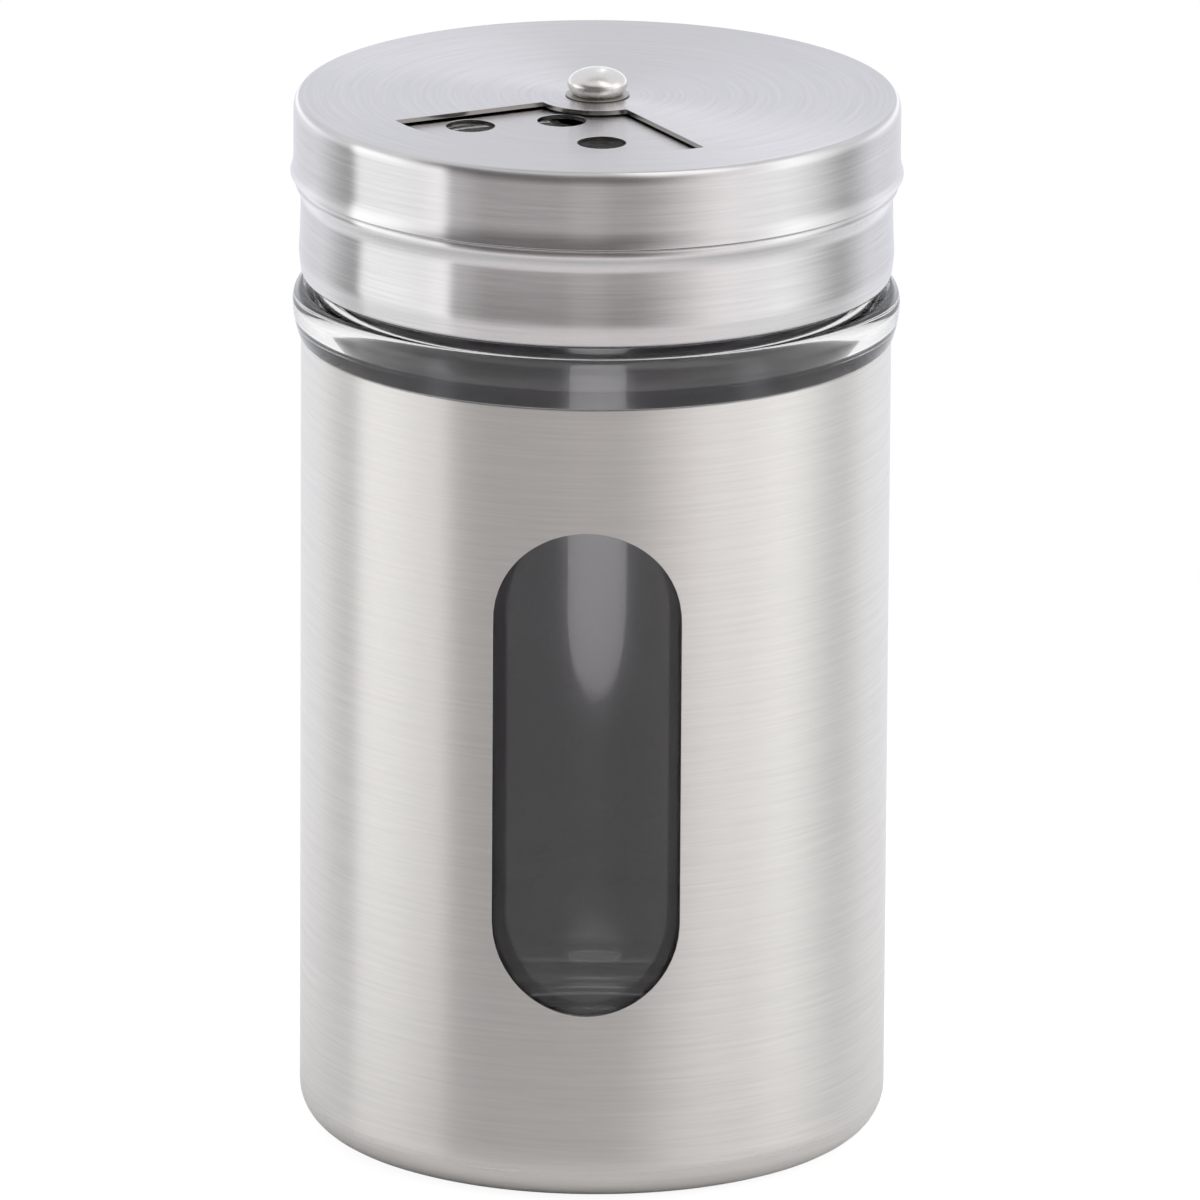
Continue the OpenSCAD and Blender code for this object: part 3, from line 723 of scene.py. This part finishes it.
rimZ, browZ = jar["rimZ"] - jar["rimRound"], jar["beadZ"] + jar["beadHeight"]
shoulderZ = browZ + jar["shoulder"]
dome = (jar["pushUpRadius"] ** 2 + jar["pushUp"] ** 2) / (2 * jar["pushUp"])    # the push-up is a ball's cap
spread = np.linspace(0, jar["pushUpRadius"], 7)
brow = jar["beadRadius"] - jar["browWidth"]
widestZ, edge, bend = browZ - jar["browHeight"], jar["beadEdge"], jar["beadBend"]
flank = math.asin((widestZ - jar["beadZ"] - edge) / (bend - edge))
edgeRadius = jar["beadRadius"] - bend + (bend - edge) * math.cos(flank)
flank = math.degrees(flank)
foot, corner, seat, rimRound = jar["foot"], jar["corner"], jar["beadSeat"], jar["rimRound"]
outside = np.concatenate([
    np.stack([spread, foot + jar["pushUp"] - dome + np.sqrt(dome ** 2 - spread ** 2)], 1),
    [(jar["footRadius"], foot)],
    bow(jar["radius"] - corner, foot + corner, corner, -90, 0, 13),
    [(jar["radius"], z) for z in np.linspace(*jar["outerRows"], 8)],
    bow(jar["radius"] + seat, jar["beadZ"] - seat, seat, 180, 90, 4),
    bow(edgeRadius, jar["beadZ"] + edge, edge, -90, -flank, 8),
    bow(jar["beadRadius"] - bend, widestZ, bend, -flank, 0, 16)[1:],
    arc(brow, widestZ, jar["browWidth"], jar["browHeight"], 0, 90, 15)[1:],
    arc(brow, shoulderZ, brow - jar["neckRadius"], jar["shoulder"], 270, 180, 19)[1:],
    [(jar["neckRadius"], z) for z in np.arange(shoulderZ, rimZ, jar["neckStep"])[1:]],
    bow(jar["neckRadius"] - rimRound, rimZ, rimRound, 0, 90, jar["rimPoints"])])
share = np.linspace(0, 1, 17)
ease = (1 - np.cos(math.pi * share)) / 2
mouth, inner, innerCorner = jar["mouthRadius"], jar["innerRadius"], jar["innerCorner"]
drop, fall = jar["hollowTop"] - jar["shoulderTop"], jar["hollowStart"] - jar["hollowTop"]
inside = np.concatenate([
    bow(mouth + rimRound, rimZ, rimRound, 90, 180, jar["rimPoints"]),
    [(mouth, z) for z in np.linspace(rimZ, jar["shoulderTop"], 6)[1:-1]],
    np.stack([mouth + (inner + jar["hollow"] - mouth) * ease, jar["shoulderTop"] + drop * share], 1),
    np.stack([inner + jar["hollow"] * (1 - ease), jar["hollowTop"] + fall * share], 1)[1:],
    [(inner, z) for z in np.linspace(*jar["innerRows"], 8)],
    bow(inner - innerCorner, jar["floorZ"] + innerCorner, innerCorner, 0, -90, 12),
    [(row, jar["floorZ"]) for row in jar["floorRows"]]])
outline = np.concatenate([outside, inside])
t = rounds(jar["columns"])
radius = np.broadcast_to(outline[:, 0], (jar["columns"], len(outline))).copy()
outer = slice(0, len(outside))
z = outline[None, outer, 1]
rise = np.clip(thread["outer"] - radius[:, outer], 0, None)
radius[:, outer] += np.where(z > browZ, rise * ridge(t, z, 0, thread["halfWidth"], thread["turns"]), 0)
points = turned(t, radius, outline[None, :, 1])
# the threaded rows take the grid's own normals, and all others the outline's
normals = gridNormals(points, True, False)
threaded = (outline[:, 1] > browZ) & (np.arange(len(outline)) < len(outside) - jar["rimPoints"])
normals[:, ~threaded] = lathe(outline, jar["columns"], False)[1].reshape(points.shape)[:, ~threaded]
makePiece("jarGlass", [grid(points, True, False, None, normals)], jarGlass, "jar", "jar_glass", "glass_jar")

pad = {
    "radius": 21.0, "low": 1.3, "high": 1.8, "rows": (0, 8, 16), "bulge": 0.45, "columns": 96,
    # the pad is squeezed out unevenly: waves round it, share of the radius, phase
    "squeeze": [(3, 0.012, 0.7), (7, 0.008, 2.1), (16, 0.005, 0)],
}
outline = np.concatenate([
    [(row, pad["low"]) for row in pad["rows"]],
    arc(pad["radius"] - 2 * pad["bulge"], (pad["low"] + pad["high"]) / 2, pad["bulge"],
        (pad["high"] - pad["low"]) / 2, -90, 90, 7),
    [(row, pad["high"]) for row in pad["rows"][::-1]]])
t = rounds(pad["columns"])
squeeze = 1 + sum(share * np.sin(waves * t + phase) for waves, share, phase in pad["squeeze"])
points = turned(t, outline[None, :, 0] * squeeze, outline[None, :, 1])
normals = lathe(outline, pad["columns"], False)[1].reshape(points.shape)
makePiece("gluePad", [grid(points, True, False, None, normals)], hotMelt, "jar", "adhesive", "glue_pad")

seal = {"inner": 25.2, "outer": 28.6, "low": 106.45, "thick": 1.5, "round": 0.35, "columns": 240}
inner, outer, low, edge = seal["inner"], seal["outer"], seal["low"], seal["round"]
top = low + seal["thick"]
outline = filleted([(inner, low, edge), (outer, low, edge), (outer, top, edge), (inner, top, edge)])
makePiece("sealRing", [lathe(outline, seal["columns"])], silicone, "seal", "silicone", "seal_ring")

insert = {
    "bore": 28.9, "radius": 29.9, "low": 91.85, "top": 109.0, "edge": 0.4,
    "flange": 108.0, "flangeRadius": 24.8, "flangeEdge": 0.2, "inside": 0.3,
    "threadZ": (93.0, 105.5), "fade": 0.6,      # the ridge fades in and out at these heights
    "columns": 300,
}
bore, skirt, flange = insert["bore"], insert["radius"], insert["flangeRadius"]
low, top, edge, flangeEdge = insert["low"], insert["top"], insert["edge"], insert["flangeEdge"]
outline = filleted([
    (bore, low, edge), (skirt, low, edge), (skirt, top, edge), (flange, top, flangeEdge),
    (flange, insert["flange"], flangeEdge), (bore, insert["flange"], insert["inside"])], step=0.25)
t = rounds(insert["columns"])
radius = np.broadcast_to(outline[:, 0], (insert["columns"], len(outline))).copy()
onBore = np.abs(outline[:, 0] - bore) < 1e-6
z = outline[None, onBore, 1]
threadLow, threadTop = insert["threadZ"]
fadeIn = smooth((z - threadLow) / insert["fade"]) * smooth((threadTop - z) / insert["fade"])
radius[:, onBore] -= (bore - thread["inner"]) * fadeIn * ridge(
    t, z, thread["pitch"] / 2, thread["innerHalfWidth"], thread["innerTurns"])
points = turned(t, radius, outline[None, :, 1])
normals = gridNormals(points, True, True)
normals[:, ~onBore] = lathe(outline, insert["columns"])[1].reshape(points.shape)[:, ~onBore]
makePiece("threadInsert", [grid(points, True, True, None, normals)], insertPlastic, "lid", "insert_plastic",
          "thread_insert")

collar = {
    "plate": 30.45, "waist": 30.55, "swell": 30.71, "ridge": 31.15,
    "sheet": 0.5, "low": 91.35, "top": 109.5, "round": 0.8,
    "swellZ": 94.0, "swellBend": 6.0, "lean": 7.0, "hemRound": 0.75, "hemWidth": 1.6, "hemEdge": 0.1,
    "ridgeZ": 101.35, "crest": 1.0, "underCrest": 2.6, "overCrest": 0.6, "shank": 2.06,
    "heading": 246.0,           # of the quarter with large holes, in degrees from X
    "largeHole": 2.5, "large": [(8.5, 0), (16.4, 27), (16.4, -27)],     # its radius, and where each one is
    "fineHole": 1.1, "fineRadius": 14.5, "finePitch": 4.6,                  # one in the middle, six round it
    "pour": (8.0, 21.5), "pourAngle": 60.0, "pourCorner": 0.3,
    "largeMargin": 0.8, "fineMargin": 0.45, "pourTurn": 3,      # how far the openings' grids reach past them
    "columns": 320, "rows": 50,
}
sheet = collar["sheet"]


# One face of the collar from the hem to the plate's corner. Arcs that meet have their centres the sum of
# their radii apart, so a turn's cosine is 1 - rise / sum.
def collarWall(inset):
    crest, under, over = collar["crest"], collar["underCrest"], collar["overCrest"]
    waistTurn = math.acos(1 - (collar["ridge"] - collar["waist"]) / (under + crest))
    crestTurn = math.acos(1 - (collar["ridge"] - collar["plate"]) / (over + crest))
    waistZ = collar["ridgeZ"] - (under + crest) * math.sin(waistTurn)
    overZ = collar["ridgeZ"] + (over + crest) * math.sin(crestTurn)
    swellZ, bend, hem = collar["swellZ"], collar["swellBend"], collar["hemRound"]
    wallTurn = 2 * math.atan((collar["swell"] - collar["waist"]) / (waistZ - swellZ))
    wall = (waistZ - swellZ) / math.sin(wallTurn) - bend
    lean = math.radians(collar["lean"])
    hemZ = collar["low"] + hem
    back = (bend - hem + (hemZ - swellZ) * math.sin(lean)) / math.cos(lean)
    waistTurn, crestTurn, wallTurn = math.degrees(waistTurn), math.degrees(crestTurn), math.degrees(wallTurn)
    corner = collar["round"]
    return np.concatenate([
        bow(collar["swell"] - bend + back, hemZ, hem - inset, -90, -collar["lean"], 9),
        bow(collar["swell"] - bend, swellZ, bend - inset, -collar["lean"], wallTurn, 7),
        bow(collar["waist"] + wall, waistZ, wall + inset, 180 + wallTurn, 180, 6)[1:],
        bow(collar["waist"] + under, waistZ, under + inset, 180, 180 - waistTurn, 9)[1:],
        bow(collar["ridge"] - crest, collar["ridgeZ"], crest - inset, -waistTurn, crestTurn, 13)[1:],
        bow(collar["plate"] + over, overZ, over + inset, 180 + crestTurn, 180, 7)[1:],
        bow(collar["plate"] - corner, collar["top"] - corner, corner - inset, 0, 90, 9)])


lip, lead, low, edge = collar["swell"] - collar["hemWidth"], 0.4, collar["low"], collar["hemEdge"]
hemEnd = filleted([(lip + lead, low + sheet), (lip, low + sheet, edge), (lip, low, edge), (lip + lead, low)],
                  step=1.0, closed=False)
outerWall, innerWall = spaced(collarWall(0), 1.6, False), spaced(collarWall(sheet), 1.6, False)
shankEdge, under, over = plateFaces(collar["shank"], collar["plate"] - collar["round"], collar["top"], sheet,
                                    collar["rows"])
outline = np.concatenate([shankEdge, under, innerWall[::-1], hemEnd, outerWall, over])


# A round hole as an opening: its cells reach past it by the margin, and asin(reach / radius) to either side.
def roundHole(radius, heading, size, margin):
    x, y = radius * math.cos(math.radians(heading)), radius * math.sin(math.radians(heading))
    reach = size + margin
    turn = math.degrees(math.asin(reach / radius))
    return pointShape(x, y), size, (radius - reach, radius + reach), (heading - turn, heading + turn)


# A ring sector as an opening: its cells reach past it by the margin, and by the turn to either side.
def sectorHole(heading, angle, radii, corner, margin, turn):
    low, high = radii
    reach = angle / 2 + turn
    return (sectorShape(heading, angle, low, high, corner), corner, (low - margin, high + margin),
            (heading - reach, heading + reach))


openings = [roundHole(radius, collar["heading"] + turn, collar["largeHole"], collar["largeMargin"])
            for radius, turn in collar["large"]]
fine = math.radians(collar["heading"] + 90)
for reach, turn in [(0.0, 0.0)] + [(collar["finePitch"], k * math.pi / 3) for k in range(6)]:
    x = collar["fineRadius"] * math.cos(fine) + reach * math.cos(fine + turn)
    y = collar["fineRadius"] * math.sin(fine) + reach * math.sin(fine + turn)
    openings.append(roundHole(math.hypot(x, y), math.degrees(math.atan2(y, x)) % 360, collar["fineHole"],
                              collar["fineMargin"]))
openings.append(sectorHole((collar["heading"] + 180) % 360, collar["pourAngle"], collar["pour"],
                           collar["pourCorner"], collar["largeMargin"], collar["pourTurn"]))
cutRadius = 29.0        # every upright face within it is a cut edge, mm


# A cut through a level sheet: its normal is nearer to level than to upright.
def cutEdge(middles, normals):
    return (np.abs(normals[:, 2]) < 0.5) & (np.linalg.norm(middles[:, :2], axis=1) < cutRadius)


surfaces = openedPlate(outline, collar["columns"], collar["top"], sheet, openings)
makePiece("lidCollar", surfaces, lidSteel, "lid", "lid_steel", "lid_collar", others=[(shearedSteel, cutEdge)])

dial = {
    "radius": 31.3, "sheet": 0.5, "low": 102.15, "top": 110.2,
    "flare": 0.34, "flareHeight": 1.9, "footEdge": 0.06, "footRow": 0.2,    # the foot is bent outwards
    "curveWidth": 0.65, "curveHeight": 1.4,     # round the top edge
    "shank": 2.03,
    "heading": 253.8, "angle": 91.0, "window": (6.3, 23.3), "windowCorner": 0.25,
    "margin": 0.9, "windowTurn": 4,             # how far the window's own grid reaches past it
    "columns": 320, "rows": 44,
}
sheet = dial["sheet"]
lean = 2 * math.atan(dial["flare"] / dial["flareHeight"])       # the flare is a hollow arc, upright to this
flareBend = dial["flareHeight"] / math.sin(lean)


# The skirt's face at a height over its foot: a circle whose centre lies outside, at the flare's upper end.
def skirtAt(inset, height):
    reach = math.sqrt((flareBend + inset) ** 2 - (dial["flareHeight"] - height) ** 2)
    return dial["radius"] + flareBend - reach, dial["low"] + height


# One face of the dial from its foot to the end of the curve round its top edge: an arc, then an ellipse.
def dialWall(inset):
    width, height = dial["curveWidth"], dial["curveHeight"]
    skirt = [skirtAt(inset, row) for row in np.linspace(dial["footRow"], dial["flareHeight"], 9)]
    curve = arc(dial["radius"] - width, dial["top"] - height, width - inset, height - inset, 0, 90, 13)
    return spaced(np.concatenate([skirt, curve]), 1.2, False)


footRow, footEdge = dial["footRow"], dial["footEdge"]
footEnd = filleted([skirtAt(sheet, footRow), (*skirtAt(sheet, 0), footEdge), (*skirtAt(0, 0), footEdge),
                    skirtAt(0, footRow)], step=0.7, closed=False)
shankEdge, under, over = plateFaces(dial["shank"], dial["radius"] - dial["curveWidth"], dial["top"], sheet,
                                    dial["rows"])
outline = np.concatenate([shankEdge, under, dialWall(sheet)[::-1], footEnd[1:-1], dialWall(0), over])
openings = [sectorHole(dial["heading"], dial["angle"], dial["window"], dial["windowCorner"], dial["margin"],
                       dial["windowTurn"])]
surfaces = openedPlate(outline, dial["columns"], dial["top"], sheet, openings)
makePiece("dialCap", surfaces, lidSteel, "dial", "lid_steel", "dial_cap", others=[(shearedSteel, cutEdge)])

rivet = {
    "flange": 3.3, "flangeThick": 0.16, "flangeEdge": 0.07,
    "head": 3.1, "headHeight": 2.9, "equator": 1.25, "bottomTurn": 37,      # a flattened ball
    "shank": 2.0, "shankEdge": 0.05, "dialZ": 110.2, "washerZ": 107.55,
    "tail": 3.0, "tailThick": 0.8, "tailEdge": 0.39, "hollow": 1.0, "hollowDepth": 2.0,     # the spread end
    "hollowCorner": 0.3, "hollowEdge": 0.25, "columns": 128,
}
tailZ = rivet["washerZ"] - rivet["tailThick"]
flangeTop = rivet["dialZ"] + rivet["flangeThick"]
headMiddle = rivet["dialZ"] + rivet["equator"]
# the lower half's height makes it end on the flange
bottomHalf = (headMiddle - flangeTop) / math.sin(math.radians(rivet["bottomTurn"]))
bottom = arc(0, headMiddle, rivet["head"], bottomHalf, -rivet["bottomTurn"], 0, 10)
hollow, tail, shank, flange = rivet["hollow"], rivet["tail"], rivet["shank"], rivet["flange"]
hollowZ, washerZ, dialZ = tailZ + rivet["hollowDepth"], rivet["washerZ"], rivet["dialZ"]
stem = filleted([
    (0, hollowZ), (hollow, hollowZ, rivet["hollowCorner"]), (hollow, tailZ, rivet["hollowEdge"]),
    (tail, tailZ, rivet["tailEdge"]), (tail, washerZ, rivet["tailEdge"]),
    (shank, washerZ, rivet["shankEdge"]), (shank, dialZ, rivet["shankEdge"]),
    (flange, dialZ, rivet["flangeEdge"]), (flange, flangeTop, rivet["flangeEdge"]), tuple(bottom[0])],
    step=0.5, turnStep=15, closed=False)
crown = arc(0, headMiddle, rivet["head"], rivet["headHeight"] - rivet["equator"], 0, 90, 22)
ball = np.concatenate([bottom, crown[1:]])
ball[-1, 0] = 0     # the pole closes exactly on the axis
surfaces = [lathe(run, rivet["columns"], False) for run in (stem, ball)]
makePiece("domedRivet", surfaces, rivetSteel, "dial", "rivet_steel", "rivet")

washer = {
    "inner": 2.03, "outer": 5.0, "low": 107.55, "thick": 0.5, "edge": 0.06, "rolled": 0.12, "columns": 96,
}
inner, outer, low = washer["inner"], washer["outer"], washer["low"]
top, edge, rolled = low + washer["thick"], washer["edge"], washer["rolled"]
outline = filleted([(inner, low, edge), (outer, low, rolled), (outer, top, edge), (inner, top, rolled)])
surfaces = [lathe(outline, washer["columns"])]
makePiece("flatWasher", surfaces, washerSteel, "dial", "washer_steel", "flat_washer")

wave = {
    "inner": 2.03, "outer": 4.7, "low": 108.05, "thick": 0.3, "edge": 0.05, "height": 0.9, "waves": 3,
    "columns": 144,
}
inner, outer, low, edge = wave["inner"], wave["outer"], wave["low"], wave["edge"]
top = low + wave["thick"]
outline = filleted([(inner, low, edge), (outer, low, edge), (outer, top, edge), (inner, top, edge)], step=0.4)
t = rounds(wave["columns"])
lift = (wave["height"] - wave["thick"]) / 2 * (1 + np.cos(wave["waves"] * t))       # from 0 to height - thick
points = turned(t, outline[None, :, 0], outline[None, :, 1] + lift)
makePiece("waveWasher", [grid(points, True, True)], washerSteel, "dial", "washer_steel", "wave_washer")

low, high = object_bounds()
